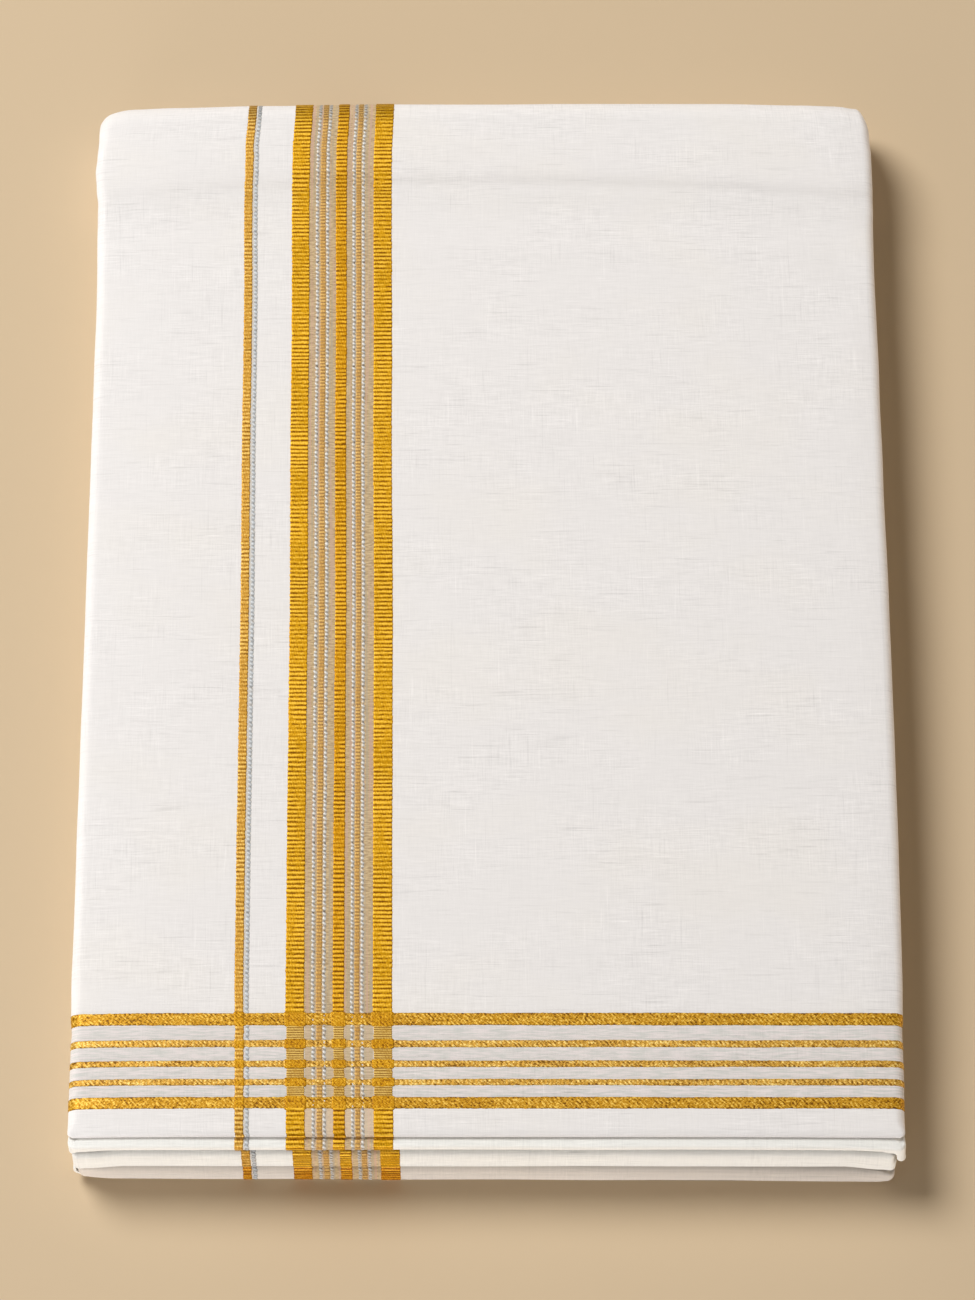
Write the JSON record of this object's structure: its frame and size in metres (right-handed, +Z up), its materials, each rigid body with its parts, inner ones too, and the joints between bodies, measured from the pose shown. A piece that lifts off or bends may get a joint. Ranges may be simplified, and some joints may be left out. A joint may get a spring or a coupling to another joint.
{
  "type": "folded dhoti cloth",
  "caption": "White cotton dhoti with gold and silver zari borders and an end band, folded flat into a stack with a rolled far fold and layered front folds.",
  "frame": {"origin": "middle of the footprint, on the flat underside", "axes": "+X across the stack to the viewer's right, +Y along the stack towards its rolled far fold, +Z up"},
  "size_m": [0.262, 0.3814, 0.0255],
  "materials": {
    "cotton_top": "plain woven off-white cotton with slubs, a matt bleached finish",
    "cotton_folds": "plain woven off-white cotton, matt",
    "cotton_inner": "plain woven off-white cotton, in shade between the folds",
    "zari_gold": "gold zari weft, ribbed, with a soft metallic sheen",
    "zari_silver": "silver zari cord, beaded, with a soft metallic sheen"
  },
  "bodies": {
    "root": {"top_stretch": "cotton_top", "upper_fold": "cotton_folds", "middle_fold": "cotton_folds", "lower_fold": "cotton_folds", "bottom_stretch": "cotton_folds", "inner_folds": "cotton_inner"}
  },
  "joints": []
}
